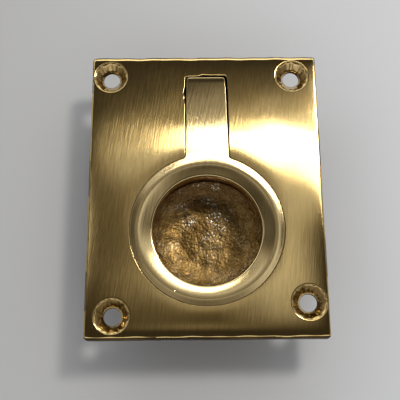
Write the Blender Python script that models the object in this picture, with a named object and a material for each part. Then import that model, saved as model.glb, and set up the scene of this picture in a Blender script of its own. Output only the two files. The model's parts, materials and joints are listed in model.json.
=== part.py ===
"""Recessed ring pull in cast brass: a screw-fixed face plate with a finger cup, and a ring hinged in it.

Sizes are in metres. +Z points out of the face and +Y towards the hinge end. The origin lies under the
centre of the plate, at the level of the cup's flat base, so the pull stands on its cup.
"""

import math

import bmesh
import bpy

MM = 0.001

# Face plate
PLATE_WIDTH = 50.0 * MM
PLATE_LENGTH = 63.0 * MM
PLATE_THICKNESS = 2.4 * MM
PLATE_CORNER_RADIUS = 0.6 * MM
PLATE_EDGE_ROUND = 0.25 * MM
OVERALL_DEPTH = 13.0 * MM
CENTRELINE_OFFSET = 0.25 * MM  # the recess was cast a little to the right of the plate's middle

# Ring handle
RING_OUTER_RADIUS = 16.1 * MM
RING_BAND = 4.45 * MM
RING_THICKNESS = 3.6 * MM
RING_DOME = 1.1 * MM
RING_CREST_DROP = 0.12 * MM  # the ring's crest lies this far below the stem's flat
STEM_RELIEF = 0.2 * MM  # the stem's underside lies this far above the ring's
STEM_RUNOUT = 1.3 * MM  # length over which the stem's flat slopes down into the ring's dome
STEM_WIDTH = 9.4 * MM
STEM_HINGE_WIDTH = 8.8 * MM
RING_INSET = 23.0 * MM  # ring centre to the plate's lower end
HINGE_INSET = 8.8 * MM  # pin axis to the plate's upper end

# Hinge
PIN_RADIUS = 1.0 * MM
PIN_DEPTH = 3.6 * MM  # pin axis below the face
PIN_END_INSET = 0.3 * MM
STEM_TAIL = 2.55 * MM  # flat of the stem beyond the pin axis

# Walls of the casting
SEAT_WALL = 2.0 * MM
CHEEK = 2.0 * MM
POCKET_WALL = 1.8 * MM
CUP_WALL = 2.0 * MM
CUP_FLOOR_THICKNESS = 2.0 * MM
CUP_WALL_DEPTH = 9.6 * MM  # where the straight wall of the cup turns into its floor
CUP_RELIEF = 0.55 * MM  # the cup is this much wider than the ring's hole, all round
CUP_FULLNESS = 3.5  # 2 makes the floor's corner elliptical, and more makes it squarer
CUP_DRAFT = 0.25 * MM
CUP_BASE_ROUND = 2.2 * MM
SEAT_ROUND = 0.8 * MM

# Clearances
RING_CLEARANCE = 0.3 * MM
SEAT_GAP = 0.3 * MM
SLOT_CLEARANCE = 0.3 * MM
POCKET_CLEARANCE = 0.79 * MM
POCKET_RELIEF = 0.2 * MM  # the pocket is filed this much wider than the channel on each side
PIN_CLEARANCE = 0.1 * MM

# Countersunk screw holes, drilled by hand: each one's inset from the nearest side and end of the plate
HOLE_RADIUS = 1.8 * MM
COUNTERSINK_RADIUS = 3.8 * MM
COUNTERSINK_ANGLE = math.radians(90)
HOLE_INSETS = {
    "top_left": (4.15 * MM, 5.05 * MM),
    "top_right": (5.5 * MM, 5.1 * MM),
    "bottom_left": (5.6 * MM, 4.85 * MM),
    "bottom_right": (4.05 * MM, 7.4 * MM),
}

# Smoothness
ROUND_STEPS = 60
HOLE_STEPS = 28
CORNER_STEPS = 4
OVERCUT = 1.0 * MM  # how far a cutter runs past the surface that it opens

# Heights above the cup's base
FACE = OVERALL_DEPTH
BACK = FACE - PLATE_THICKNESS
INSIDE_PLATE = FACE - PLATE_THICKNESS / 2
SEAT = FACE - RING_THICKNESS - SEAT_GAP
SEAT_UNDERSIDE = SEAT - SEAT_WALL
PIN_HEIGHT = FACE - PIN_DEPTH

# Plan positions
HINGE_Y = PLATE_LENGTH / 2 - HINGE_INSET
RING_Y = RING_INSET - PLATE_LENGTH / 2
PULL_LENGTH = HINGE_Y - RING_Y

# Sizes that follow
RING_HOLE_RADIUS = RING_OUTER_RADIUS - RING_BAND
RECESS_RADIUS = RING_OUTER_RADIUS + RING_CLEARANCE
SLOT_HALF_WIDTH = STEM_WIDTH / 2 + SLOT_CLEARANCE
CUP_RADIUS = RING_HOLE_RADIUS + CUP_RELIEF
KNUCKLE_RADIUS = math.hypot(PIN_DEPTH, STEM_TAIL)
POCKET_RADIUS = KNUCKLE_RADIUS + POCKET_CLEARANCE
HOUSING_HALF_WIDTH = SLOT_HALF_WIDTH + POCKET_RELIEF + CHEEK


def clear_scene():
    for obj in list(bpy.data.objects):
        bpy.data.objects.remove(obj, do_unlink=True)


def make_material(name, colour, roughness):
    material = bpy.data.materials.new(name)
    material.use_nodes = True
    shader = material.node_tree.nodes["Principled BSDF"]
    shader.inputs["Base Color"].default_value = (*colour, 1)
    shader.inputs["Metallic"].default_value = 1
    shader.inputs["Roughness"].default_value = roughness
    return material


def add_object(name, bm, material=None):
    """Makes an object of the bmesh. One without a material is a helper, such as a cutter."""
    bmesh.ops.recalc_face_normals(bm, faces=bm.faces)
    mesh = bpy.data.meshes.new(name)
    bm.to_mesh(mesh)
    bm.free()
    obj = bpy.data.objects.new(name, mesh)
    bpy.context.scene.collection.objects.link(obj)
    if material:
        mesh.materials.append(material)
    else:
        obj.hide_render = True
        obj.display_type = "WIRE"
    return obj


def shade_round(obj):
    obj.data.shade_smooth()
    obj.data.set_sharp_from_angle(angle=math.radians(35))


def arc(centre, radius, start, end, steps):
    """Points along an arc, from one angle in degrees to another, both ends included."""
    angles = [math.radians(start + (end - start) * i / steps) for i in range(steps + 1)]
    return [(centre[0] + radius * math.cos(a), centre[1] + radius * math.sin(a)) for a in angles]


def rounded_rectangle(width, length, radius):
    x = width / 2 - radius
    y = length / 2 - radius
    corners = [((x, y), 0), ((-x, y), 90), ((-x, -y), 180), ((x, -y), 270)]
    points = []
    for centre, start in corners:
        points += arc(centre, radius, start, start + 90, CORNER_STEPS)
    return points


def keyhole(radius, half_width, end_y):
    """Outline of a round seat at the ring's centre with a straight channel up to end_y."""
    meeting = math.degrees(math.acos(half_width / radius))
    around = arc((0, RING_Y), radius, 180 - meeting, 360 + meeting, ROUND_STEPS)
    return [(half_width, end_y), (-half_width, end_y)] + around


def prism(name, outline, low, high, material=None):
    """Extrudes an outline in X and Y from one height to another."""
    bm = bmesh.new()
    base = bm.faces.new([bm.verts.new((x, y, low)) for x, y in outline])
    raised = bmesh.ops.extrude_face_region(bm, geom=[base])["geom"]
    top = [item for item in raised if isinstance(item, bmesh.types.BMVert)]
    bmesh.ops.translate(bm, verts=top, vec=(0, 0, high - low))
    return add_object(name, bm, material)


def side_prism(name, outline, half_width, material=None):
    """Extrudes an outline in Y and Z across the width, half of it on each side."""
    bm = bmesh.new()
    base = bm.faces.new([bm.verts.new((-half_width, y, z)) for y, z in outline])
    moved = bmesh.ops.extrude_face_region(bm, geom=[base])["geom"]
    far = [item for item in moved if isinstance(item, bmesh.types.BMVert)]
    bmesh.ops.translate(bm, verts=far, vec=(2 * half_width, 0, 0))
    return add_object(name, bm, material)


def turned(name, profile, centre, steps=ROUND_STEPS, closed=False, material=None):
    """Spins a profile of (radius, height) points about the vertical through centre."""
    bm = bmesh.new()
    verts = [bm.verts.new((centre[0] + r, centre[1], z)) for r, z in profile]
    pairs = list(zip(verts, verts[1:]))
    if closed:
        pairs.append((verts[-1], verts[0]))
    edges = [bm.edges.new(pair) for pair in pairs]
    bmesh.ops.spin(
        bm,
        geom=verts + edges,
        cent=(centre[0], centre[1], 0),
        axis=(0, 0, 1),
        angle=2 * math.pi,
        steps=steps,
        use_merge=True,
    )
    bmesh.ops.remove_doubles(bm, verts=bm.verts, dist=0.001 * MM)
    return add_object(name, bm, material)


def boolean(target, other, operation):
    modifier = target.modifiers.new(other.name, "BOOLEAN")
    modifier.object = other
    modifier.operation = operation
    modifier.solver = "EXACT"
    if not other.parent:
        other.parent = target.parent


def soften(obj, width, segments):
    """Rounds every sharp edge of a helper or plate before it is joined to anything."""
    modifier = obj.modifiers.new("edge_round", "BEVEL")
    modifier.width = width
    modifier.segments = segments
    modifier.limit_method = "ANGLE"
    modifier.angle_limit = math.radians(60)


def dome(radius_out, radius_in, edge, rise, steps):
    """The domed top of the ring's band, as (radius, height) points from its outer to its inner edge."""
    middle = (radius_out + radius_in) / 2
    half = (radius_out - radius_in) / 2
    angles = [math.pi * i / steps for i in range(steps + 1)]
    return [(middle + half * math.cos(a), edge + rise * math.sin(a)) for a in angles]


def cup_hollow():
    """Inside of the finger cup: a nearly upright wall, then a dished floor with full corners."""
    power = 2 / CUP_FULLNESS
    low_radius = CUP_RADIUS - CUP_DRAFT
    wall_end = FACE - CUP_WALL_DEPTH
    drop = wall_end - CUP_FLOOR_THICKNESS
    angles = [math.pi / 2 * i / 10 for i in range(11)]
    floor = [
        (low_radius * abs(math.cos(a)) ** power, wall_end - drop * math.sin(a) ** power)
        for a in angles[:-1]
    ]
    return [(0, SEAT + OVERCUT), (CUP_RADIUS, SEAT + OVERCUT), *floor, (0, CUP_FLOOR_THICKNESS)]


def cup_outside():
    radius = CUP_RADIUS + CUP_WALL
    corner = (radius - CUP_BASE_ROUND, CUP_BASE_ROUND)
    return [(0, SEAT), (radius, SEAT), *arc(corner, CUP_BASE_ROUND, 0, -90, 8), (0, 0)]


def hinge_housing(centreline):
    """Block behind the plate that holds the pin, round underneath about the pin's axis."""
    radius = POCKET_RADIUS + POCKET_WALL
    under = arc((HINGE_Y, PIN_HEIGHT), radius, 180, 360, ROUND_STEPS // 2)
    outline = [(HINGE_Y + radius, INSIDE_PLATE), (HINGE_Y - radius, INSIDE_PLATE)] + under
    housing = side_prism("housing_shape", outline, HOUSING_HALF_WIDTH)
    housing.parent = centreline
    return housing


def cross_rod(name, radius, half_length, y, height, steps, material=None):
    """A round rod along X."""
    outline = arc((y, height), radius, 0, 360, steps)[:-1]
    return side_prism(name, outline, half_length, material)


def screw_hole(name, x, y):
    cone_depth = (COUNTERSINK_RADIUS - HOLE_RADIUS) / math.tan(COUNTERSINK_ANGLE / 2)
    above = COUNTERSINK_RADIUS + OVERCUT * math.tan(COUNTERSINK_ANGLE / 2)
    profile = [
        (0, FACE + OVERCUT),
        (above, FACE + OVERCUT),
        (HOLE_RADIUS, FACE - cone_depth),
        (HOLE_RADIUS, BACK - OVERCUT),
        (0, BACK - OVERCUT),
    ]
    return turned(f"screw_hole_{name}", profile, (x, y), HOLE_STEPS)


def plate_casting(centreline, brass):
    """Plate, ring seat, finger cup and hinge housing, which are one casting."""
    outline = rounded_rectangle(PLATE_WIDTH, PLATE_LENGTH, PLATE_CORNER_RADIUS)
    plate = prism("plate_casting", outline, BACK, FACE, brass)
    soften(plate, PLATE_EDGE_ROUND, 2)

    seat_outline = keyhole(RECESS_RADIUS + SEAT_WALL, SLOT_HALF_WIDTH + SEAT_WALL, HINGE_Y)
    seat = prism("seat_shape", seat_outline, SEAT_UNDERSIDE, INSIDE_PLATE)
    soften(seat, SEAT_ROUND, 2)
    recess = prism(
        "recess_cutter",
        keyhole(RECESS_RADIUS, SLOT_HALF_WIDTH, HINGE_Y),
        SEAT,
        FACE + OVERCUT,
    )
    pocket = cross_rod(
        "pocket_cutter",
        POCKET_RADIUS,
        SLOT_HALF_WIDTH + POCKET_RELIEF,
        HINGE_Y,
        PIN_HEIGHT,
        ROUND_STEPS,
    )
    pin_bore = cross_rod(
        "pin_bore_cutter",
        PIN_RADIUS + PIN_CLEARANCE,
        HOUSING_HALF_WIDTH + OVERCUT,
        HINGE_Y,
        PIN_HEIGHT,
        HOLE_STEPS,
    )
    cup = turned("cup_shape", cup_outside(), (0, RING_Y))
    hollow = turned("cup_cutter", cup_hollow(), (0, RING_Y))
    for helper in (seat, recess, pocket, pin_bore, cup, hollow):
        helper.parent = centreline

    for shape in (seat, cup, hinge_housing(centreline)):
        boolean(plate, shape, "UNION")
    for cutter in (recess, hollow, pocket, pin_bore):
        boolean(plate, cutter, "DIFFERENCE")
    for name, (from_side, from_end) in HOLE_INSETS.items():
        x = PLATE_WIDTH / 2 - from_side
        y = PLATE_LENGTH / 2 - from_end
        hole = screw_hole(name, -x if "left" in name else x, -y if "bottom" in name else y)
        boolean(plate, hole, "DIFFERENCE")
    shade_round(plate)
    return plate


def stem_side_outline():
    """The stem and its round knuckle seen from the side, about the pin axis."""
    tail = math.degrees(math.atan2(PIN_DEPTH, STEM_TAIL))
    underside = PIN_DEPTH - RING_THICKNESS + STEM_RELIEF
    back = 180 - math.degrees(math.asin(underside / KNUCKLE_RADIUS))
    ring_end = RING_OUTER_RADIUS - RING_BAND / 2 - PULL_LENGTH
    knuckle = arc((0, 0), KNUCKLE_RADIUS, tail, back - 360, ROUND_STEPS * 3 // 4)
    sunk = PIN_DEPTH - RING_CREST_DROP - RING_DOME
    return [(ring_end, underside), (ring_end, sunk), (ring_end + STEM_RUNOUT, PIN_DEPTH)] + knuckle


def stem_plan_outline():
    """The stem seen from the front, a little narrower at the hinge than at the ring."""
    ring_end = RING_OUTER_RADIUS - RING_BAND - PULL_LENGTH
    far_end = KNUCKLE_RADIUS + OVERCUT
    wide = STEM_WIDTH / 2
    narrow = STEM_HINGE_WIDTH / 2
    return [(-wide, ring_end), (wide, ring_end), (narrow, far_end), (-narrow, far_end)]


def ring_handle(axis, brass):
    """The ring and its stem, one casting. It is built about the pin axis and hangs on the hinge's empty."""
    top = PIN_DEPTH
    bottom = top - RING_THICKNESS
    crest = top - RING_CREST_DROP
    stem = side_prism("ring_handle", stem_side_outline(), STEM_WIDTH, brass)
    plan = prism("stem_plan", stem_plan_outline(), -KNUCKLE_RADIUS - OVERCUT, top + OVERCUT)
    band = dome(RING_OUTER_RADIUS, RING_HOLE_RADIUS, crest - RING_DOME, RING_DOME, 10)
    profile = [*band, (RING_HOLE_RADIUS, bottom), (RING_OUTER_RADIUS, bottom)]
    ring = turned("ring_shape", profile, (0, -PULL_LENGTH), closed=True)
    bore = cross_rod("ring_bore_cutter", PIN_RADIUS + PIN_CLEARANCE, STEM_WIDTH, 0, 0, HOLE_STEPS)
    for piece in (stem, plan, ring, bore):
        piece.parent = axis
    boolean(stem, plan, "INTERSECT")
    boolean(stem, ring, "UNION")
    boolean(stem, bore, "DIFFERENCE")
    shade_round(stem)
    return stem


def hinge_pin(axis, brass):
    half_length = HOUSING_HALF_WIDTH - PIN_END_INSET
    pin = cross_rod("hinge_pin", PIN_RADIUS, half_length, 0, 0, HOLE_STEPS, brass)
    pin.parent = axis
    shade_round(pin)
    return pin


def make_empty(name, location, parent=None):
    empty = bpy.data.objects.new(name, None)
    empty.empty_display_size = 5 * MM
    empty.location = location
    empty.parent = parent
    bpy.context.scene.collection.objects.link(empty)
    return empty


def main():
    clear_scene()
    cast_brass = make_material("polished_cast_brass", (0.80, 0.61, 0.29), 0.16)
    ring_brass = make_material("polished_ring_brass", (0.80, 0.62, 0.31), 0.14)
    pin_brass = make_material("drawn_brass", (0.72, 0.54, 0.26), 0.3)
    centreline = make_empty("centreline", (CENTRELINE_OFFSET, 0, 0))
    axis = make_empty("hinge_axis", (0, HINGE_Y, PIN_HEIGHT), centreline)
    plate_casting(centreline, cast_brass)
    ring_handle(axis, ring_brass)
    hinge_pin(axis, pin_brass)


main()
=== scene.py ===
"""Visual model of the recessed ring pull: hand-polished cast brass, with a rough as-cast finger cup."""

import json
import math

import bmesh
import bpy
import numpy as np
from mathutils import Matrix, Vector, kdtree, noise
from mathutils.geometry import delaunay_2d_cdt


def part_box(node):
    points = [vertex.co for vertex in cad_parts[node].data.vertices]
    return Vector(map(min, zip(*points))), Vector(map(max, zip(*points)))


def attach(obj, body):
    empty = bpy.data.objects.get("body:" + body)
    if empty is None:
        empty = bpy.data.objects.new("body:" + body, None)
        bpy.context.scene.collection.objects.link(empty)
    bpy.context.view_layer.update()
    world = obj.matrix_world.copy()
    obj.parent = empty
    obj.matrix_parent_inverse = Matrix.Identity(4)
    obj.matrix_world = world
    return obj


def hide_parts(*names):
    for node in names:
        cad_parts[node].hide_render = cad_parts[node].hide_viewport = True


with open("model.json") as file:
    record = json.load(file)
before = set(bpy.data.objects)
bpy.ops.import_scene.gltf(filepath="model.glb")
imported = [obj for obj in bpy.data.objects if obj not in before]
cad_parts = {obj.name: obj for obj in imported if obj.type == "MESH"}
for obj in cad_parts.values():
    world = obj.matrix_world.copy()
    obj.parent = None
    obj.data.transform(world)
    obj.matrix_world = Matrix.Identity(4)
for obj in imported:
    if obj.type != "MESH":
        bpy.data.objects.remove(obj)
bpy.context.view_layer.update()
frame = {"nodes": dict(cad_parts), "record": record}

MM = 0.001

# Read from the frame
PLATE_LOW, PLATE_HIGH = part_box("plate_casting")
RING_LOW, RING_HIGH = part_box("ring_handle")
PIN_LOW, PIN_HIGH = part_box("hinge_pin")
HINGE = Vector(frame["record"]["behaviour"]["joints"][0]["pos_m"])
FACE = PLATE_HIGH.z
BACK = Vector(frame["record"]["mounts"][0]["pos_m"]).z
CENTRE_X = HINGE.x
RING_RADIUS = (RING_HIGH.x - RING_LOW.x) / 2
RING_Y = RING_LOW.y + RING_RADIUS
PIN_RADIUS = (PIN_HIGH.z - PIN_LOW.z) / 2
BORE_RADIUS = PIN_RADIUS + 0.1 * MM
RING_UNDERSIDE = HINGE.z

# Ring and stem
RING_BAND = 4.45 * MM
HOLE_RADIUS_OF_RING = RING_RADIUS - RING_BAND
RING_GAP = 0.11 * MM  # dark line between the ring and its seat
STEM_LEFT, STEM_RIGHT = 4.45 * MM, 4.82 * MM  # half widths at the ring
HINGE_LEFT, HINGE_RIGHT = 4.15 * MM, 4.32 * MM  # half widths at the hinge
STEM_FILLET = 0.7 * MM
PIN_DEPTH = FACE - HINGE.z
KNUCKLE_RADIUS = RING_HIGH.y - HINGE.y  # the handle reaches no further beyond the pin
TAIL_FLAT = 2.6 * MM  # the stem's flat ends this far beyond the pin, in a buffed slope
TAIL_REACH = 3.55 * MM  # and its end wall stands this far beyond the pin
UNDERSIDE_RELIEF = 0.2 * MM
FACET_INSIDE = 15.0 * MM  # the ring's flat outer facet ends at this radius
SLOPE_GRADE = 0.125
SLOPE_START = 0.5 * MM  # how softly the inward slope begins

# Finger cup
CUP_REACH = HOLE_RADIUS_OF_RING + 1.2 * MM  # its inside lies within this radius
CUP_FLOOR = 1.2 * MM
FLOOR_TOP = 2.0 * MM
CUP_BULGE = 1.05  # below its mouth the cup is this much wider in plan

# Seat and slot in the plate
RING_CLEARANCE = 0.3 * MM
RECESS_RADIUS = RING_RADIUS + RING_CLEARANCE
SLOT_LEFT, SLOT_RIGHT = 4.57 * MM, 5.02 * MM
SLOT_FILLET = 0.55 * MM
POCKET_RADIUS = KNUCKLE_RADIUS + 0.79 * MM
SLOT_END = HINGE.y + math.sqrt(POCKET_RADIUS**2 - PIN_DEPTH**2)

# Screw holes: inset from the nearest side and end
HOLE_RADIUS = 1.8 * MM
COUNTERSINK_RADIUS = 3.6 * MM
HOLE_INSETS = [(-1, 1, 4.15, 5.05), (1, 1, 5.5, 5.1), (-1, -1, 5.6, 4.85), (1, -1, 4.1, 7.4)]

# Buffed edges
PLATE_ROUND = 1.0 * MM  # at the two ends
SIDE_ROUND = 0.4 * MM
SLOT_ROUND = 0.08 * MM
RING_ROUND = 0.07 * MM
RING_HOLE_ROUND = 0.42 * MM
HOLE_ROUND = 0.22 * MM
EDGE_INSET = 0.09 * MM  # where the rounded edge of the plate turns into its side wall
EDGE_SUPPORT = 0.07 * MM  # a loop this far inside each rounding keeps the face flat up to it
SIDE_BAND = 0.5 * MM  # the side walls and the steep part of their rounding lie within this
SIDE_STEP = 0.3 * MM
ROW_GAP = 0.1 * MM
GRID_STEP = 0.55 * MM

# Places of the plate's materials after its polished one
FILED_SLOT = 1
REAMED_SLOT = 2
# Allowance when a face is told to lie in a screw hole or not
EDGE_MARGIN = 0.1 * MM

rng = np.random.default_rng(7)


# ---------------------------------------------------------------- outlines


def resample(points, step):
    """The closed outline with points at an even spacing."""
    points = np.asarray(points)
    closed = np.vstack([points, points[:1]])
    lengths = np.linalg.norm(np.diff(closed, axis=0), axis=1)
    along = np.concatenate([[0], np.cumsum(lengths)])
    count = max(int(round(along[-1] / step)), 12)
    at = np.arange(count) * along[-1] / count
    return np.column_stack([np.interp(at, along, closed[:, k]) for k in (0, 1)])


def arc(centre, radius, start, end, steps):
    angles = np.radians(np.linspace(start, end, steps + 1))
    return np.column_stack([centre[0] + radius * np.cos(angles), centre[1] + radius * np.sin(angles)])


def circle(centre, radius, count):
    return arc(centre, radius, 0, 360, count)[:-1]


def outward(points):
    """Unit normals of a closed outline that runs anticlockwise, pointing away from what it encloses."""
    along = np.roll(points, -1, axis=0) - np.roll(points, 1, axis=0)
    along /= np.linalg.norm(along, axis=1)[:, None]
    return np.column_stack([along[:, 1], -along[:, 0]])


def plate_outline():
    corner = 0.8 * MM
    x, y = PLATE_HIGH.x - corner, PLATE_HIGH.y - corner
    spots = [((x, y), 0), ((-x, y), 90), ((-x, -y), 180), ((x, -y), 270)]
    points = resample(np.vstack([arc(c, corner, a, a + 90, 10) for c, a in spots]), SIDE_STEP)
    return points * (1 - 0.0012 * (1 + np.sin(points[:, ::-1] * 260 + points * 90)))


def fillet_between(centre, radius, half_width, fillet, side):
    """Arc outside a circle and a straight side at half_width that joins them, run from circle to side."""
    x = side * (half_width + fillet)
    y = math.sqrt((radius + fillet) ** 2 - (half_width + fillet) ** 2)
    touch = math.degrees(math.atan2(-y, -x))
    end = 180 if side > 0 else 0
    if side > 0:
        touch %= 360
    return arc((centre[0] + x, centre[1] + y), fillet, touch, end, 8)


def keyhole_outline():
    """The opening in the plate: a round seat, a straight channel and a filed, uneven hinge end."""
    centre = (CENTRE_X, RING_Y)
    right = fillet_between(centre, RECESS_RADIUS, SLOT_RIGHT, SLOT_FILLET, 1)
    left = fillet_between(centre, RECESS_RADIUS, SLOT_LEFT, SLOT_FILLET, -1)[::-1]
    round_part = round_between(left[-1], right[0], RECESS_RADIUS)
    # Filed channel, in millimetres: (from the centreline, from the slot's hinge end)
    filed = [
        (5.02, -12.9),
        (4.98, -7.2),
        (5.0, -4.0),
        (4.92, -1.2),
        (4.72, -0.1),
        (4.39, 0.30),
        (3.3, 0.2),
        (2.2, 0.3),
        (1.2, 0.22),
        (0.1, 0.36),
        (-0.75, 0.4),
        (-1.47, 0.05),
        (-3.0, 0.02),
        (-4.3, 0.0),
        (-4.62, -0.2),
        (-4.62, -0.9),
        (-4.6, -2.3),
        (-4.8, -3.2),
        (-4.96, -4.2),
        (-4.66, -4.9),
        (-4.84, -5.5),
        (-4.6, -6.4),
        (-4.66, -9.9),
        (-4.58, -13.5),
    ]
    end_part = [(CENTRE_X + x * MM, SLOT_END + y * MM) for x, y in filed]
    points = resample(np.vstack([right, end_part, left, round_part]), 0.24 * MM)
    for _ in range(2):
        points = (np.roll(points, 1, axis=0) + 2 * points + np.roll(points, -1, axis=0)) / 4
    return points


def round_between(start, end, radius):
    """The long way round the ring's centre from one point to another."""
    first = math.degrees(math.atan2(start[1] - RING_Y, start[0] - CENTRE_X))
    last = math.degrees(math.atan2(end[1] - RING_Y, end[0] - CENTRE_X))
    return arc((CENTRE_X, RING_Y), radius, first, last + 360, 160)


def handle_outline():
    """The ring's outer edge with the stem on it."""
    centre = (CENTRE_X, RING_Y)
    radius = RECESS_RADIUS - RING_GAP
    right = fillet_between(centre, radius, STEM_RIGHT, STEM_FILLET, 1)
    left = fillet_between(centre, radius, STEM_LEFT, STEM_FILLET, -1)[::-1]
    round_part = round_between(left[-1], right[0], radius)
    tip = HINGE.y + TAIL_REACH
    turn = 0.6 * MM
    top = [
        (CENTRE_X + HINGE_RIGHT + 0.1 * MM, HINGE.y),
        *arc((CENTRE_X + HINGE_RIGHT - turn, tip - turn), turn, 0, 90, 6),
        *arc((CENTRE_X - HINGE_LEFT + turn, tip - turn), turn, 90, 180, 6),
        (CENTRE_X - HINGE_LEFT - 0.1 * MM, HINGE.y),
    ]
    points = resample(np.vstack([right, top, left, round_part]), 0.26 * MM)
    return (np.roll(points, 1, axis=0) + 2 * points + np.roll(points, -1, axis=0)) / 4


# ---------------------------------------------------------------- slabs with shaped edges


class Edge:
    """One closed outline of a slab and the profile of its edge.

    The profile is a list of (inset, drop, rise): inset moves into the metal, drop is measured down from the
    top surface, or if it is None rise is measured up from the bottom surface.
    """

    def __init__(self, outline, profile, is_hole, adjust=None):
        self.outline = np.asarray(outline)
        self.into = outward(self.outline) * (1 if is_hole else -1)
        self.profile = profile
        self.is_hole = is_hole
        self.adjust = adjust

    def loops(self, top, bottom):
        made = []
        for inset, drop, rise in self.profile:
            flat = self.outline + self.into * inset
            if drop is None:
                height = bottom(flat[:, 0], flat[:, 1]) + rise
            else:
                height = top(flat[:, 0], flat[:, 1]) - drop
            loop = np.column_stack([flat, height])
            made.append(self.adjust(loop) if self.adjust else loop)
        return made


def rounding(radius, steps):
    """(inset, drop) pairs from the flat surface round to the wall."""
    angles = [math.pi / 2 * i / steps for i in range(steps + 1)]
    return [(radius * (1 - math.sin(a)), radius * (1 - math.cos(a))) for a in angles]


def plain_profile(top_radius, bottom_radius, steps=5):
    down = [(top_radius + EDGE_SUPPORT, 0, None)]
    down += [(inset, drop, None) for inset, drop in rounding(top_radius, steps)]
    up = [(inset, None, drop) for inset, drop in rounding(bottom_radius, 3)][::-1]
    return down + up


def inside(points, outline):
    """Which points the outline encloses."""
    x, y = points[:, 0], points[:, 1]
    found = np.zeros(len(points), bool)
    ends = np.roll(outline, -1, axis=0)
    for (ax, ay), (bx, by) in zip(outline, ends):
        if ay == by:
            continue
        crosses = (ay > y) != (by > y)
        found ^= crosses & (x < (bx - ax) * (y - ay) / (by - ay) + ax)
    return found


def interior(loops, step, rows):
    """Jittered grid points between the outlines, clear of them, with rows that follow the outer outline."""
    outer = loops[0]
    low, high = outer.min(axis=0), outer.max(axis=0)
    xs = np.arange(low[0], high[0], step)
    ys = np.arange(low[1], high[1], step * 0.87)
    grid = np.array([(x + (j % 2) * step / 2, y) for j, y in enumerate(ys) for x in xs])
    grid += rng.uniform(-0.12, 0.12, grid.shape) * step
    followed = [outer - outward(outer) * inset for inset in rows]
    points = [(point, step * 0.6) for point in grid] + [(p, ROW_GAP) for row in followed for p in row]
    spots = np.array([point for point, _ in points])
    keep = inside(spots, outer)
    for loop in loops[1:]:
        keep &= ~inside(spots, loop)
    outlines = tree_of(np.vstack(loops))
    everything = tree_of(np.vstack([*loops, *followed]))
    count = len(grid)
    found = []
    for i, (point, gap) in enumerate(points):
        tree = everything if i < count else outlines
        if keep[i] and tree.find((*point, 0))[2] > gap:
            found.append(point)
    return np.array(found)


def tree_of(points):
    tree = kdtree.KDTree(len(points))
    for i, point in enumerate(points):
        tree.insert((*point, 0), i)
    tree.balance()
    return tree


def fill(bm, loops, surface, step, upward, rows=()):
    """Triangulates between loops of vertices, with grid points between them at the surface's height."""
    flats = [np.array([v.co[:2] for v in loop]) for loop in loops]
    added = interior(flats, step, rows)
    heights = surface(added[:, 0], added[:, 1])
    extra = [bm.verts.new((x, y, z)) for (x, y), z in zip(added, heights)]
    verts = [v for loop in loops for v in loop] + extra
    edges, base = [], 0
    for flat in flats:
        edges += [(base + i, base + (i + 1) % len(flat)) for i in range(len(flat))]
        base += len(flat)
    scale = 1 / MM
    coords = [Vector((v.co.x * scale, v.co.y * scale)) for v in verts]
    _, _, faces, origins, _, _ = delaunay_2d_cdt(coords, edges, [], 1, 1e-6)
    back = [found[0] if found else None for found in origins]
    centres = np.array([np.mean([coords[back[i]] for i in face], axis=0) for face in faces])
    keep = np.ones(len(faces), bool)
    for flat in flats[1:]:
        keep &= ~inside(centres, flat * scale)
    for face, wanted in zip(faces, keep):
        if wanted:
            corners = [verts[back[i]] for i in face]
            bm.faces.new(corners if upward else corners[::-1])


def slab(name, edges, top, bottom, step, bottom_step, rows=()):
    """A closed piece between two surfaces, cut out by its edges, with rows of points inside the outer one."""
    bm = bmesh.new()
    tops, bottoms = [], []
    for edge in edges:
        rings = [[bm.verts.new(p) for p in loop] for loop in edge.loops(top, bottom)]
        for upper, lower in zip(rings, rings[1:]):
            for i in range(len(upper)):
                j = (i + 1) % len(upper)
                bm.faces.new((upper[i], lower[i], lower[j], upper[j]))
        tops.append(rings[0])
        bottoms.append(rings[-1])
    fill(bm, tops, top, step, True, rows)
    fill(bm, bottoms, bottom, bottom_step, False)
    bmesh.ops.recalc_face_normals(bm, faces=bm.faces)
    return add_piece(name, bm)


def add_piece(name, bm):
    mesh = bpy.data.meshes.new(name)
    bm.to_mesh(mesh)
    bm.free()
    mesh.shade_smooth()
    obj = bpy.data.objects.new(name, mesh)
    bpy.context.scene.collection.objects.link(obj)
    return obj


def applied(obj):
    """Applies the object's modifiers."""
    graph = bpy.context.evaluated_depsgraph_get()
    mesh = bpy.data.meshes.new_from_object(obj.evaluated_get(graph))
    obj.modifiers.clear()
    obj.data = mesh
    return obj


# ---------------------------------------------------------------- face plate


def quarter_round(distance, radius):
    """Drop of the plate's rounded edge at this distance from it."""
    over = np.clip(radius - distance, 0, radius * 0.985)
    return radius - np.sqrt(radius**2 - over**2)


def bump(x, y, at_x, at_y, wide, long):
    return np.exp(-(((x - at_x * MM) / (wide * MM)) ** 2) - ((y - at_y * MM) / (long * MM)) ** 2)


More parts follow.
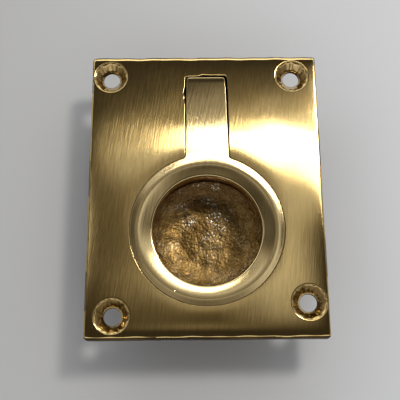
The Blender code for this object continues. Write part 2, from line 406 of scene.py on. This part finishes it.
def face_height(x, y):
    """The hand-polished face, in gentle waves and dubbed off near its edges, its seat and one side."""
    side = PLATE_HIGH.x - np.abs(x)
    top_end = PLATE_HIGH.y - y
    low_end = y - PLATE_LOW.y
    dub = 0.10 * np.exp(-side / (1.6 * MM)) + 0.16 * np.exp(-top_end / (0.9 * MM))
    dub += 0.26 * np.exp(-low_end / (1.5 * MM))
    wobble = 0.05 * MM * (np.sin(x * 520) + np.sin(x * 1130 + 2))
    dub += quarter_round(side, SIDE_ROUND) / MM
    for end in (top_end, low_end):
        dub += quarter_round(end + wobble, PLATE_ROUND) / MM
    waves = 0.010 * np.sin(x * 230 + 1.1) * np.sin(y * 170 + 0.4)
    waves += 0.0025 * np.sin(x * 610 + y * 240) + 0.0015 * np.sin(y * 730 - x * 330 + 2)
    from_seat = np.hypot(x - CENTRE_X, y - RING_Y) - RECESS_RADIUS
    above = np.clip((y - RING_Y) / RECESS_RADIUS, 0, 1)
    dub += (0.030 + 0.035 * above) * np.exp(-np.abs(from_seat) / (1.1 * MM))
    twist = 0.045 * bump(x, y, 27, -6, 11, 11)
    return FACE + (waves - dub - twist) * MM


def plate_underside(x, y):
    return np.full_like(x, BACK)


def undercut(loop):
    """The slot's hinge end follows the round pocket under the face."""
    below = FACE - loop[:, 2]
    level = np.clip(PIN_DEPTH - below, 0, None)
    reach = np.sqrt(POCKET_RADIUS**2 - level**2) - math.sqrt(POCKET_RADIUS**2 - PIN_DEPTH**2)
    share = np.clip((loop[:, 1] - SLOT_END + 1.6 * MM) / (1.2 * MM), 0, 1)
    deep = np.clip((below - 0.4 * MM) / (0.5 * MM), 0, 1)
    moved = loop.copy()
    moved[:, 1] += reach * share * deep
    return moved


def countersink_profile():
    """A rounded rim, a narrow shallow chamfer, and the steeper cone that the screw's head sits in."""
    wall = COUNTERSINK_RADIUS - HOLE_RADIUS
    rim = [(HOLE_ROUND * 1.2 + EDGE_SUPPORT, 0)]
    rim += [(inset * 1.2, drop * 0.55) for inset, drop in rounding(HOLE_ROUND, 4)]
    chamfer = [(0.03, 0.15), (0.10, 0.22), (0.16, 0.30)]  # (share of the way in, depth in millimetres)
    cone = [(0.24, 0.44), (0.45, 0.82), (0.7, 1.27), (0.96, 1.74)]
    inner = [(-wall * share, depth * MM) for share, depth in chamfer + cone]
    burr = 0.06 * MM
    return [(i, d, None) for i, d in rim + inner] + [(-wall, None, burr), (-wall + burr, None, 0)]


def chatter(centre, turn):
    """Returns the ripple that a hand-held countersink leaves, strongest half way down the cone."""

    def ripple(loop):
        offset = loop[:, :2] - centre
        radius = np.linalg.norm(offset, axis=1)
        angle = np.arctan2(offset[:, 1], offset[:, 0]) + turn
        middle = np.clip((COUNTERSINK_RADIUS - radius) * (radius - HOLE_RADIUS) / (0.6 * MM**2), 0, 1)
        waves = 0.06 * np.sin(7 * angle) + 0.07 * np.sin(13 * angle + 1) + 0.05 * np.sin(19 * angle)
        moved = loop.copy()
        moved[:, 2] += waves * middle * MM
        return moved

    return ripple


def plate_side_profile():
    """The face's own height holds most of the rounded edge, so only its steep end is here."""
    down = [(EDGE_INSET, 0, None), (EDGE_INSET * 0.4, 0.12 * MM, None), (0, 0.3 * MM, None)]
    up = [(inset, None, rise) for inset, rise in rounding(0.35 * MM, 3)][::-1]
    return down + up


def screw_centres():
    for side, end, from_side, from_end in HOLE_INSETS:
        x = side * (PLATE_HIGH.x - from_side * MM)
        y = end * (PLATE_HIGH.y - from_end * MM)
        yield x, y


def make_face_plate():
    edges = [
        Edge(plate_outline(), plate_side_profile(), False),
        Edge(keyhole_outline(), plain_profile(SLOT_ROUND, 0.05 * MM), True, undercut),
    ]
    for i, centre in enumerate(screw_centres()):
        rim = circle(centre, COUNTERSINK_RADIUS, 80)
        edges.append(Edge(rim, countersink_profile(), True, chatter(centre, 1.7 * i)))
    rows = [PLATE_ROUND * share for share in (0.2, 0.42, 0.68, 1.0, 1.45)]
    plate = slab("face_plate", edges, face_height, plate_underside, GRID_STEP, 1.2 * MM, rows)
    for face in plate.data.polygons:
        if is_unbuffed(face.center, face.normal):
            face.material_index = FILED_SLOT
        elif is_near_screw(face.center, COUNTERSINK_RADIUS - EDGE_MARGIN):
            face.material_index = REAMED_SLOT
    return plate


def is_unbuffed(centre, normal):
    """The buffing wheel doesn't reach the side walls, the back and the screw holes below their cones."""
    at_side = min(PLATE_HIGH.x - abs(centre.x), PLATE_HIGH.y - abs(centre.y)) < SIDE_BAND
    in_hole = is_near_screw(centre, HOLE_RADIUS + EDGE_MARGIN)
    return at_side and normal.z < 0.84 or in_hole or normal.z < -0.5


def is_near_screw(centre, radius):
    return any(math.hypot(centre.x - x, centre.y - y) < radius for x, y in screw_centres())


# ---------------------------------------------------------------- cast body behind the face


def copy_of_node(node, name):
    source = frame["nodes"][node]
    obj = bpy.data.objects.new(name, source.data.copy())
    obj.matrix_world = source.matrix_world.copy()
    bpy.context.scene.collection.objects.link(obj)
    return obj


def keep_inside(obj, low, high):
    bm = bmesh.new()
    bmesh.ops.create_cube(bm, size=1)
    size, middle = high - low, (high + low) / 2
    bmesh.ops.transform(bm, verts=bm.verts, matrix=Matrix.LocRotScale(middle, None, size))
    box = add_piece("keep_box", bm)
    modifier = obj.modifiers.new("keep", "BOOLEAN")
    modifier.operation, modifier.object, modifier.solver = "INTERSECT", box, "EXACT"
    applied(obj)
    bpy.data.objects.remove(box, do_unlink=True)


def cast_grain(co, normal):
    """How far the sand casting stands proud here, in metres."""
    spot = co / MM
    in_cup = is_in_cup(co)
    lumps = noise.noise(spot * 0.5) * 0.11
    creases = abs(noise.noise(spot * 2.3)) * 0.13 + abs(noise.noise(spot * 3.9)) * 0.08
    if in_cup and normal.z > 0.25:
        rough = 1.0
    elif in_cup:
        rough = 0.8
    else:
        rough = 0.3
    return (lumps - creases) * rough * MM


def is_in_cup(co):
    from_cup = math.hypot(co.x - CENTRE_X, co.y - RING_Y)
    return from_cup < CUP_REACH and CUP_FLOOR < co.z < FACE - 4 * MM


def bowl_height(co):
    """The cup's floor rises in a wide sweep towards its wall."""
    level_radius, sweep, rise = 4.5 * MM, 7.7 * MM, 3.5 * MM
    over = max(math.hypot(co.x - CENTRE_X, co.y - RING_Y) - level_radius, 0) / sweep
    return FLOOR_TOP + rise * over**2.4


def make_cast_body():
    """Ring seat, finger cup and hinge housing, as they come from the sand."""
    body = copy_of_node("plate_casting", "cast_body")
    reach = RECESS_RADIUS + 2.8 * MM
    low = Vector((CENTRE_X - reach, RING_Y - reach, -1 * MM))
    high = Vector((CENTRE_X + reach, PLATE_HIGH.y - 1 * MM, BACK + 0.3 * MM))
    keep_inside(body, low, high)
    modifier = body.modifiers.new("remesh", "REMESH")
    modifier.mode, modifier.voxel_size = "VOXEL", 0.17 * MM
    applied(body)
    for vert in body.data.vertices:
        if is_in_cup(vert.co):
            vert.co.z = max(vert.co.z, bowl_height(vert.co))
    smooth = body.modifiers.new("smooth", "SMOOTH")
    smooth.iterations, smooth.factor = (14), 0.5
    applied(body)
    mesh = body.data
    moves = [(v.co + v.normal * cast_grain(v.co, v.normal)) for v in mesh.vertices]
    for vert, place in zip(mesh.vertices, moves):
        if is_in_cup(vert.co):
            place.x = CENTRE_X + (place.x - CENTRE_X) * CUP_BULGE
            place.y = RING_Y + (place.y - RING_Y) * CUP_BULGE
        vert.co = place
        vert.co.z = max(place.z, 0) if place.z < 0.35 * MM else place.z
    mesh.shade_smooth()
    return body


# ---------------------------------------------------------------- ring handle and pin


def handle_top(x, y):
    """Ring with an almost flat outer facet and an inward slope, and a flat stem buffed off at its end."""
    from_ring = np.hypot(x - CENTRE_X, y - RING_Y)
    up = (y - RING_Y) / RING_RADIUS
    right = (x - CENTRE_X) / RING_RADIUS
    facet_inside = FACET_INSIDE - 0.5 * MM * np.clip(up, 0, 1) ** 2
    u = np.clip(facet_inside - from_ring, 0, None)
    slope = (SLOPE_GRADE + 0.046 * right**2) * (u - SLOPE_START * (1 - np.exp(-u / SLOPE_START)))
    by_stem = np.clip(((y - RING_Y) / from_ring - 0.80) / 0.14, 0, 1)
    by_stem = by_stem**2 * (3 - 2 * by_stem)
    facet = np.clip(from_ring - facet_inside, 0, RING_RADIUS - FACET_INSIDE) ** 2 / (1.1 * MM)
    facet *= 0.032 + 0.008 * right  # it rolls off a little more on the right
    facet *= np.clip(1 + up, 0, 1)  # and less and less towards the ring's free end
    hammered = 0.003 * np.sin(x * 520 + y * 310) + 0.003 * np.sin(y * 690 - x * 240 + 1)
    stem = 0.012 * np.sin((y - RING_Y) * 160) + 0.012 * ((x - CENTRE_X) / (4 * MM)) ** 2
    on_stem = np.clip((from_ring - FACET_INSIDE) / (2 * MM), 0, 1) * by_stem
    height = FACE - (0.03 + hammered + stem * on_stem) * MM - slope - facet * (1 - by_stem)
    tail = np.clip(y - HINGE.y - TAIL_FLAT, 0, None)
    return height - 0.05 * tail - 0.06 * tail**2 / MM


def handle_bottom(x, y):
    stem = np.clip((y - (RING_Y + RING_RADIUS - 2 * MM)) / (2 * MM), 0, 1)
    level = RING_UNDERSIDE + UNDERSIDE_RELIEF * stem
    reach = np.clip(KNUCKLE_RADIUS**2 - (y - HINGE.y) ** 2, 0, None)
    return np.minimum(level, HINGE.z - np.sqrt(reach) + np.where(reach > 0, 0, 1))


def make_handle():
    hole = circle((CENTRE_X, RING_Y), HOLE_RADIUS_OF_RING, 260)
    wobble = 1 + 0.0035 * np.sin(3 * np.linspace(0, 2 * np.pi, 260, endpoint=False) + 0.6)
    centre = np.array([CENTRE_X, RING_Y])
    oval = np.array([0.988, 1.018])  # the hole is a little longer than it is wide
    hole = (hole - centre) * wobble[:, None] * oval + centre - (0, 0.18 * MM)
    edges = [
        Edge(handle_outline(), plain_profile(RING_ROUND, 0.4 * MM), False),
        Edge(hole, plain_profile(RING_HOLE_ROUND, 0.5 * MM, 9), True),
    ]
    handle = slab("ring_and_stem", edges, handle_top, handle_bottom, 0.36 * MM, 0.5 * MM)
    bore_across(handle)
    return handle


def bore_across(handle):
    """Drills the pin's bore through the knuckle."""
    bm = bmesh.new()
    turn = Matrix.Rotation(math.pi / 2, 4, "Y")
    radii = {"radius1": BORE_RADIUS, "radius2": BORE_RADIUS}
    bmesh.ops.create_cone(bm, cap_ends=True, segments=48, depth=20 * MM, matrix=turn, **radii)
    bmesh.ops.translate(bm, verts=bm.verts, vec=HINGE)
    rod = add_piece("bore_cutter", bm)
    modifier = handle.modifiers.new("bore", "BOOLEAN")
    modifier.operation, modifier.object, modifier.solver = "DIFFERENCE", rod, "EXACT"
    applied(handle)
    bpy.data.objects.remove(rod, do_unlink=True)
    handle.data.shade_smooth()
    handle.data.set_sharp_from_angle(angle=math.radians(50))


def make_pin():
    half = (PIN_HIGH.x - PIN_LOW.x) / 2
    dome = 0.12 * MM
    profile = [(0, half), (0.7, half - dome * 0.3), (0.93, half - dome), (1, half - 0.3 * MM)]
    points = [(r * PIN_RADIUS, z) if r else (0, z) for r, z in profile]
    points += [(r, -z) for r, z in points[::-1]]
    bm = bmesh.new()
    rows = []
    for r, z in points:
        if r == 0:
            rows.append([bm.verts.new((z, 0, 0))])
        else:
            ring = circle((0, 0), r, 40)
            rows.append([bm.verts.new((z, a, b)) for a, b in ring])
    for one, two in zip(rows, rows[1:]):
        for i in range(40):
            j = (i + 1) % 40
            corners = [one[i % len(one)], two[i % len(two)], two[j % len(two)], one[j % len(one)]]
            bm.faces.new(list(dict.fromkeys(corners)))
    bmesh.ops.recalc_face_normals(bm, faces=bm.faces)
    bmesh.ops.translate(bm, verts=bm.verts, vec=HINGE)
    return add_piece("pin", bm)


# ---------------------------------------------------------------- materials


class Nodes:
    """Short names for building a node tree."""

    def __init__(self, tree):
        self.tree = tree

    def add(self, kind, inputs=None, **settings):
        node = self.tree.nodes.new(kind)
        for key, value in settings.items():
            setattr(node, key, value)
        for key, value in (inputs or {}).items():
            if isinstance(value, bpy.types.NodeSocket):
                self.tree.links.new(value, node.inputs[key])
            else:
                node.inputs[key].default_value = value
        return node

    def math(self, operation, a, b=0.0, c=0.0, clamp=False):
        node = self.add("ShaderNodeMath", {0: a, 1: b, 2: c}, operation=operation, use_clamp=clamp)
        return node.outputs[0]

    def span(self, value, from_min, from_max, to_min, to_max):
        inputs = {0: value, 1: from_min, 2: from_max, 3: to_min, 4: to_max}
        return self.add("ShaderNodeMapRange", inputs).outputs[0]

    def noise(self, vector, scale, detail=2.0, rough=0.5):
        inputs = {"Vector": vector, "Scale": scale, "Detail": detail, "Roughness": rough}
        return self.add("ShaderNodeTexNoise", inputs).outputs["Fac"]

    def stretched(self, vector, scale, turn=0.0):
        """Turned about Z by so many degrees, then scaled."""
        turned = self.add("ShaderNodeVectorRotate", {"Vector": vector, "Angle": math.radians(turn)})
        inputs = {0: turned.outputs[0], 1: scale}
        return self.add("ShaderNodeVectorMath", inputs, operation="MULTIPLY").outputs[0]

    def mix(self, factor, one, two):
        node = self.add("ShaderNodeMix", data_type="RGBA")
        for socket, value in ((node.inputs[0], factor), (node.inputs[6], one), (node.inputs[7], two)):
            if isinstance(value, bpy.types.NodeSocket):
                self.tree.links.new(value, socket)
            else:
                socket.default_value = value
        return node.outputs[2]

    def bump(self, height, strength, distance, normal=None):
        inputs = {"Height": height, "Strength": strength, "Distance": distance}
        if normal:
            inputs["Normal"] = normal
        return self.add("ShaderNodeBump", inputs).outputs[0]


def new_material(name):
    material = bpy.data.materials.new(name)
    material.use_nodes = True
    nodes = Nodes(material.node_tree)
    shader = material.node_tree.nodes["Principled BSDF"]
    shader.inputs["Metallic"].default_value = 1.0
    place = nodes.add("ShaderNodeTexCoord").outputs["Object"]
    return material, nodes, shader, place


def polished_brass(name, colour, deep, brush, ring_brush, lean, roughness):
    """Buffed brass: hairlines that lean off the Y axis, faint waves, tiny pits, a varied colour and shade
    painted into the hairlines.
    """
    material, n, shader, place = new_material(name)
    shader.inputs["Anisotropic"].default_value = 0.9
    across = n.add(
        "ShaderNodeVectorTransform",
        {0: (1, 0, 0)},
        vector_type="VECTOR",
        convert_from="OBJECT",
        convert_to="WORLD",
    )
    n.tree.links.new(across.outputs[0], shader.inputs["Tangent"])
    hair = n.noise(n.stretched(place, (6400, 330, 900), lean), 1.0, 3.0, 0.6)
    wide = n.noise(n.stretched(place, (3300, 170, 500), lean * 1.3), 1.0, 2.0, 0.5)
    side, lengthwise, _ = n.add("ShaderNodeSeparateXYZ", {0: place}).outputs
    zone = n.span(n.noise(place, 70.0, 1.0), 0.40, 0.62, 0.7, 1.0)
    zone = n.math("MULTIPLY", zone, n.span(side, -8 * MM, 12 * MM, 1.0, 0.6))
    zone = n.math("MULTIPLY", zone, n.span(lengthwise, 3 * MM, 9 * MM, ring_brush, 1.0))
    pits = n.add("ShaderNodeTexVoronoi", {"Vector": place, "Scale": 420.0}).outputs["Distance"]
    pit_mask = n.span(pits, 0.0, 0.07, 1.0, 0.0)
    rare = n.span(n.noise(place, 210.0, 0.0), 0.62, 0.66, 0.0, 1.0)
    pit = n.math("MULTIPLY", pit_mask, rare, clamp=True)
    soft = n.noise(place, 240.0, 2.0)
    brushed = n.math("MULTIPLY", n.math("ADD", n.math("MULTIPLY", hair, 0.5), wide), zone)
    first = n.bump(brushed, brush, 0.00005)
    second = n.bump(soft, 0.025, 0.00012, first)
    third = n.bump(n.math("SUBTRACT", 1.0, pit), 0.5, 0.0001, second)
    tint = n.mix(n.noise(place, 90.0, 3.0), colour, deep)
    # Painted shade: the hairline scratches are painted darker along their streaks.
    streak = n.noise(n.stretched(place, (2900, 240, 900), lean), 1.0, 2.0, 0.6)
    streak = n.math("MULTIPLY", n.span(streak, 0.42, 0.66, 0.0, 0.34), zone)
    tint = n.mix(streak, tint, tuple(0.45 * c for c in deep[:3]) + (1,))
    tint = n.mix(n.math("MULTIPLY", pit, 0.6), tint, (0.95, 0.85, 0.6, 1))
    n.tree.links.new(tint, shader.inputs["Base Color"])
    rough = n.math("ADD", n.math("MULTIPLY", hair, 0.05), n.math("MULTIPLY", zone, 0.035))
    n.tree.links.new(n.math("ADD", rough, roughness), shader.inputs["Roughness"])
    n.tree.links.new(third, shader.inputs["Normal"])
    return material


def dull_brass(name):
    """Filed and darkened: the sides, the back and the pin."""
    material, n, shader, place = new_material(name)
    marks = n.noise(n.stretched(place, (900, 900, 5200)), 1.0, 3.0, 0.6)
    stain = n.noise(place, 180.0, 3.0)
    tint = n.mix(n.span(stain, 0.35, 0.65, 0.0, 1.0), (0.05, 0.032, 0.012, 1), (0.13, 0.085, 0.032, 1))
    n.tree.links.new(tint, shader.inputs["Base Color"])
    n.tree.links.new(n.span(marks, 0.3, 0.7, 0.26, 0.42), shader.inputs["Roughness"])
    n.tree.links.new(n.bump(marks, 0.4, 0.00004), shader.inputs["Normal"])
    return material


def cast_brass(name):
    """As-cast skin: dull brown and grainy, with painted shade on the steep walls and towards the hinge side,
    and painted glints, partly smoother metal, on the floor.
    """
    material, n, shader, place = new_material(name)
    painted_shade_colour = (0.17, 0.098, 0.038, 1)
    grain = n.noise(place, 3400.0, 3.0, 0.65)
    lumps = n.noise(place, 1100.0, 2.0)
    stain = n.noise(place, 300.0, 3.0, 0.6)
    tint = n.mix(n.span(stain, 0.35, 0.65, 0.0, 1.0), (0.23, 0.13, 0.036, 1), (0.46, 0.29, 0.10, 1))
    tint = n.mix(n.span(grain, 0.35, 0.6, 0.6, 0.0), tint, (0.07, 0.04, 0.014, 1))
    normal = n.add("ShaderNodeNewGeometry").outputs["Normal"]
    facing = n.add("ShaderNodeSeparateXYZ", {0: normal}).outputs[2]
    # Painted shade: the steeper the wall, the darker it is painted.
    tint = n.mix(n.span(facing, 0.45, 0.92, 0.6, 0.0), tint, painted_shade_colour)
    # Painted shade: the cup's upper part and the hinge housing beyond it are painted darker towards the
    # hinge.
    lengthwise = n.add("ShaderNodeSeparateXYZ", {0: place}).outputs[1]
    lengthwise = n.math("MULTIPLY_ADD", n.noise(place, 500.0, 1.0), 0.003, lengthwise)
    hinge_side_painted_shade = n.span(lengthwise, RING_Y + 7.8 * MM, RING_Y + 10.5 * MM, 0.0, 0.8)
    tint = n.mix(hinge_side_painted_shade, tint, painted_shade_colour)
    # Painted glints: pale specks, also made smoother, gathered round one spot of the floor. They are partly
    # the metal's own smoother high spots and partly a painted highlight.
    glint = n.span(n.noise(place, 2300.0, 0.0), 0.56, 0.66, 0.0, 0.9)
    glint = n.math("MULTIPLY", glint, n.span(n.noise(place, 330.0, 0.0), 0.52, 0.60, 0.0, 1.0))
    glint_spot = {0: place, 1: (0.0, -1.5 * MM, FLOOR_TOP)}  # the glints gather round this spot of the floor
    from_glint_spot = n.add("ShaderNodeVectorMath", glint_spot, operation="DISTANCE").outputs["Value"]
    glint = n.math("MULTIPLY", glint, n.span(from_glint_spot, 2.5 * MM, 8 * MM, 1.0, 0.15))
    tint = n.mix(glint, tint, (0.85, 0.80, 0.70, 1))
    n.tree.links.new(tint, shader.inputs["Base Color"])
    rough = n.math("MULTIPLY_ADD", glint, -0.30, n.span(lumps, 0.3, 0.7, 0.30, 0.50))
    n.tree.links.new(rough, shader.inputs["Roughness"])
    first = n.bump(grain, 0.6, 0.00006)
    n.tree.links.new(n.bump(lumps, 0.5, 0.0001, first), shader.inputs["Normal"])
    return material


def floor_material():
    """Plain matt sheet, with shade painted a little darker on the left."""
    material, n, shader, place = new_material("pale_paper")
    shader.inputs["Metallic"].default_value = 0.0
    shader.inputs["Roughness"].default_value = 0.85
    # Painted shade: the sheet's colour goes from darker on the left to lighter on the right.
    side = n.add("ShaderNodeSeparateXYZ", {0: place}).outputs[0]
    uneven = n.math("MULTIPLY_ADD", n.noise(place, 12.0, 4.0), 20 * MM, side)
    share = n.span(uneven, -50 * MM, 60 * MM, 0.0, 1.0)
    tint = n.mix(share, (0.66, 0.655, 0.64, 1), (0.88, 0.88, 0.88, 1))
    n.tree.links.new(tint, shader.inputs["Base Color"])
    return material


# ---------------------------------------------------------------- studio


def make_floor():
    bm = bmesh.new()
    bmesh.ops.create_grid(bm, x_segments=2, y_segments=2, size=0.6)
    floor = add_piece("floor", bm)
    floor.location.z = -0.03 * MM
    floor.data.materials.append(floor_material())


def make_camera():
    """Seen from above the lower end, at the distance of a hand-held close-up."""
    data = bpy.data.cameras.new("camera")
    data.lens = 62.93
    data.sensor_width = 36
    data.clip_start = 0.01
    camera = bpy.data.objects.new("camera", data)
    camera.location = (-2.1 * MM, -44.4 * MM, FACE + 142.05 * MM)
    camera.rotation_euler = tuple(math.radians(a) for a in (16.482, -0.195, -0.531))
    bpy.context.scene.collection.objects.link(camera)
    bpy.context.scene.camera = camera


def area_light(name, centre, size, power, turn=0.0, aimed=False):
    """A rectangle that faces straight down, turned about the vertical, or one aimed at the plate."""
    data = bpy.data.lights.new(name, "AREA")
    data.shape = "RECTANGLE"
    data.size, data.size_y = size
    data.energy = power
    data.color = (1.0, 0.98, 0.95)
    light = bpy.data.objects.new(name, data)
    light.location = centre
    light.rotation_euler.z = math.radians(turn)
    if aimed:
        away = Vector(centre) - Vector((0, 0, FACE))
        light.rotation_euler = away.to_track_quat("Z", "Y").to_euler()
    bpy.context.scene.collection.objects.link(light)


def make_lights():
    area_light("ceiling_panel", (0.10, 0.2385, 0.60), (0.25, 0.030), 0.115)
    area_light("ceiling_panel_end", (0.165, 0.206, 0.60), (0.24, 0.05), 0.15, turn=-18)
    area_light("side_softbox", (0.25, 0.24, 0.50), (0.10, 0.10), 0.95, aimed=True)


def make_world():
    """A room as the plate sees it: dim overhead, with soft bright patches and a brighter horizon."""
    world = bpy.data.worlds.new("studio")
    bpy.context.scene.world = world
    world.use_nodes = True
    n = Nodes(world.node_tree)
    background = world.node_tree.nodes["Background"]
    direction = n.add("ShaderNodeTexCoord").outputs["Generated"]
    x, y, z = n.add("ShaderNodeSeparateXYZ", {0: direction}).outputs
    up = n.math("MAXIMUM", z, 0.02)
    across = n.math("DIVIDE", x, up)
    along = n.math("DIVIDE", y, up)

    def patch(at_across, at_along, wide, long, strength):
        a = n.math("DIVIDE", n.math("SUBTRACT", across, at_across), wide)
        b = n.math("DIVIDE", n.math("SUBTRACT", along, at_along), long)
        far = n.math("ADD", n.math("MULTIPLY", a, a), n.math("MULTIPLY", b, b))
        return n.math("MULTIPLY", n.math("EXPONENT", n.math("MULTIPLY", far, -1.0)), strength)

    # Share of the level part of a direction that runs along Y; the 1.0001 keeps it finite straight up
    level = n.math("SUBTRACT", 1.0001, n.math("MULTIPLY", z, z))
    lengthwise = n.math("DIVIDE", n.math("MULTIPLY", y, y), level)
    towards = n.math("MULTIPLY", lengthwise, n.span(y, -0.2, 0.2, 0.3, 1.7))
    walls = n.math("ADD", towards, 0.62)
    walls = n.math("MULTIPLY", walls, n.span(z, 0.60, 0.76, 1.0, 0.0))
    walls = n.math("MULTIPLY", walls, n.span(z, 0.36, 0.52, 0.22, 1.0))
    total = n.math("ADD", walls, 0.036)
    # Soft patches: (across, along, wide, long, strength)
    patches = [
        (0.22, 0.39, 0.17, 0.055, 0.95),  # ceiling lit up round the lamp
        (0.13, 0.20, 0.05, 0.11, 0.74),  # bright wall on the right
        (0.20, 0.30, 0.05, 0.04, 0.42),  # its end nearer the lamp
        (-0.06, 0.20, 0.05, 0.12, 0.17),  # dim reflection on the left
        (-0.08, 0.368, 0.09, 0.045, 0.52),  # dimmer end of the lamp
        (0.0, 0.18, 0.09, 0.035, 0.28),  # soft light this side of the lamp
        (-0.30, 0.26, 0.05, 0.07, 1.1),  # bright patch far to the left
        (0.015, 0.44, 0.035, 0.04, 0.24),  # small glow on the far ceiling
        (0.0, 0.045, 0.07, 0.035, 0.15),  # faint light almost overhead
        (0.0, 0.285, 0.08, 0.045, 0.22),  # grey ceiling in the middle
    ]
    for spot in patches:
        total = n.math("ADD", total, patch(*spot))
    n.tree.links.new(total, background.inputs["Strength"])
    hue = n.mix(n.span(total, 0.05, 0.55, 0.0, 1.0), (1.0, 0.90, 0.74, 1), (0.97, 1.0, 1.06, 1))
    n.tree.links.new(hue, background.inputs["Color"])


# ---------------------------------------------------------------- assembly


def main():
    make_camera()
    make_floor()
    make_lights()
    make_world()
    bpy.context.scene.view_settings.view_transform = "Standard"

    face_brass = polished_brass(
        "face_brass",
        colour=(0.87, 0.645, 0.285, 1),
        deep=(0.79, 0.55, 0.20, 1),
        brush=0.19,
        ring_brush=0.8,
        lean=6.0,
        roughness=0.045,
    )
    ring_brass = polished_brass(
        "ring_brass",
        colour=(0.92, 0.72, 0.37, 1),
        deep=(0.86, 0.64, 0.29, 1),
        brush=0.20,
        ring_brush=0.35,
        lean=9.0,
        roughness=0.05,
    )
    reamed_brass = polished_brass(
        "reamed_brass",
        colour=(0.80, 0.59, 0.27, 1),
        deep=(0.52, 0.34, 0.12, 1),
        brush=0.5,
        ring_brush=0.8,
        lean=6.0,
        roughness=0.09,
    )
    filed_brass = dull_brass("filed_edge_brass")
    rough_brass = cast_brass("as_cast_brass")

    plate = make_face_plate()
    for material in (face_brass, filed_brass, reamed_brass):
        plate.data.materials.append(material)
    body = make_cast_body()
    body.data.materials.clear()
    body.data.materials.append(rough_brass)
    handle = make_handle()
    handle.data.materials.append(ring_brass)
    pin = make_pin()
    pin.data.materials.append(filed_brass)

    for piece in (plate, body):
        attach(piece, "plate")
        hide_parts("plate_casting")
    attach(handle, "ring")
    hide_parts("ring_handle")
    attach(pin, "plate")
    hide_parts("hinge_pin")


main()
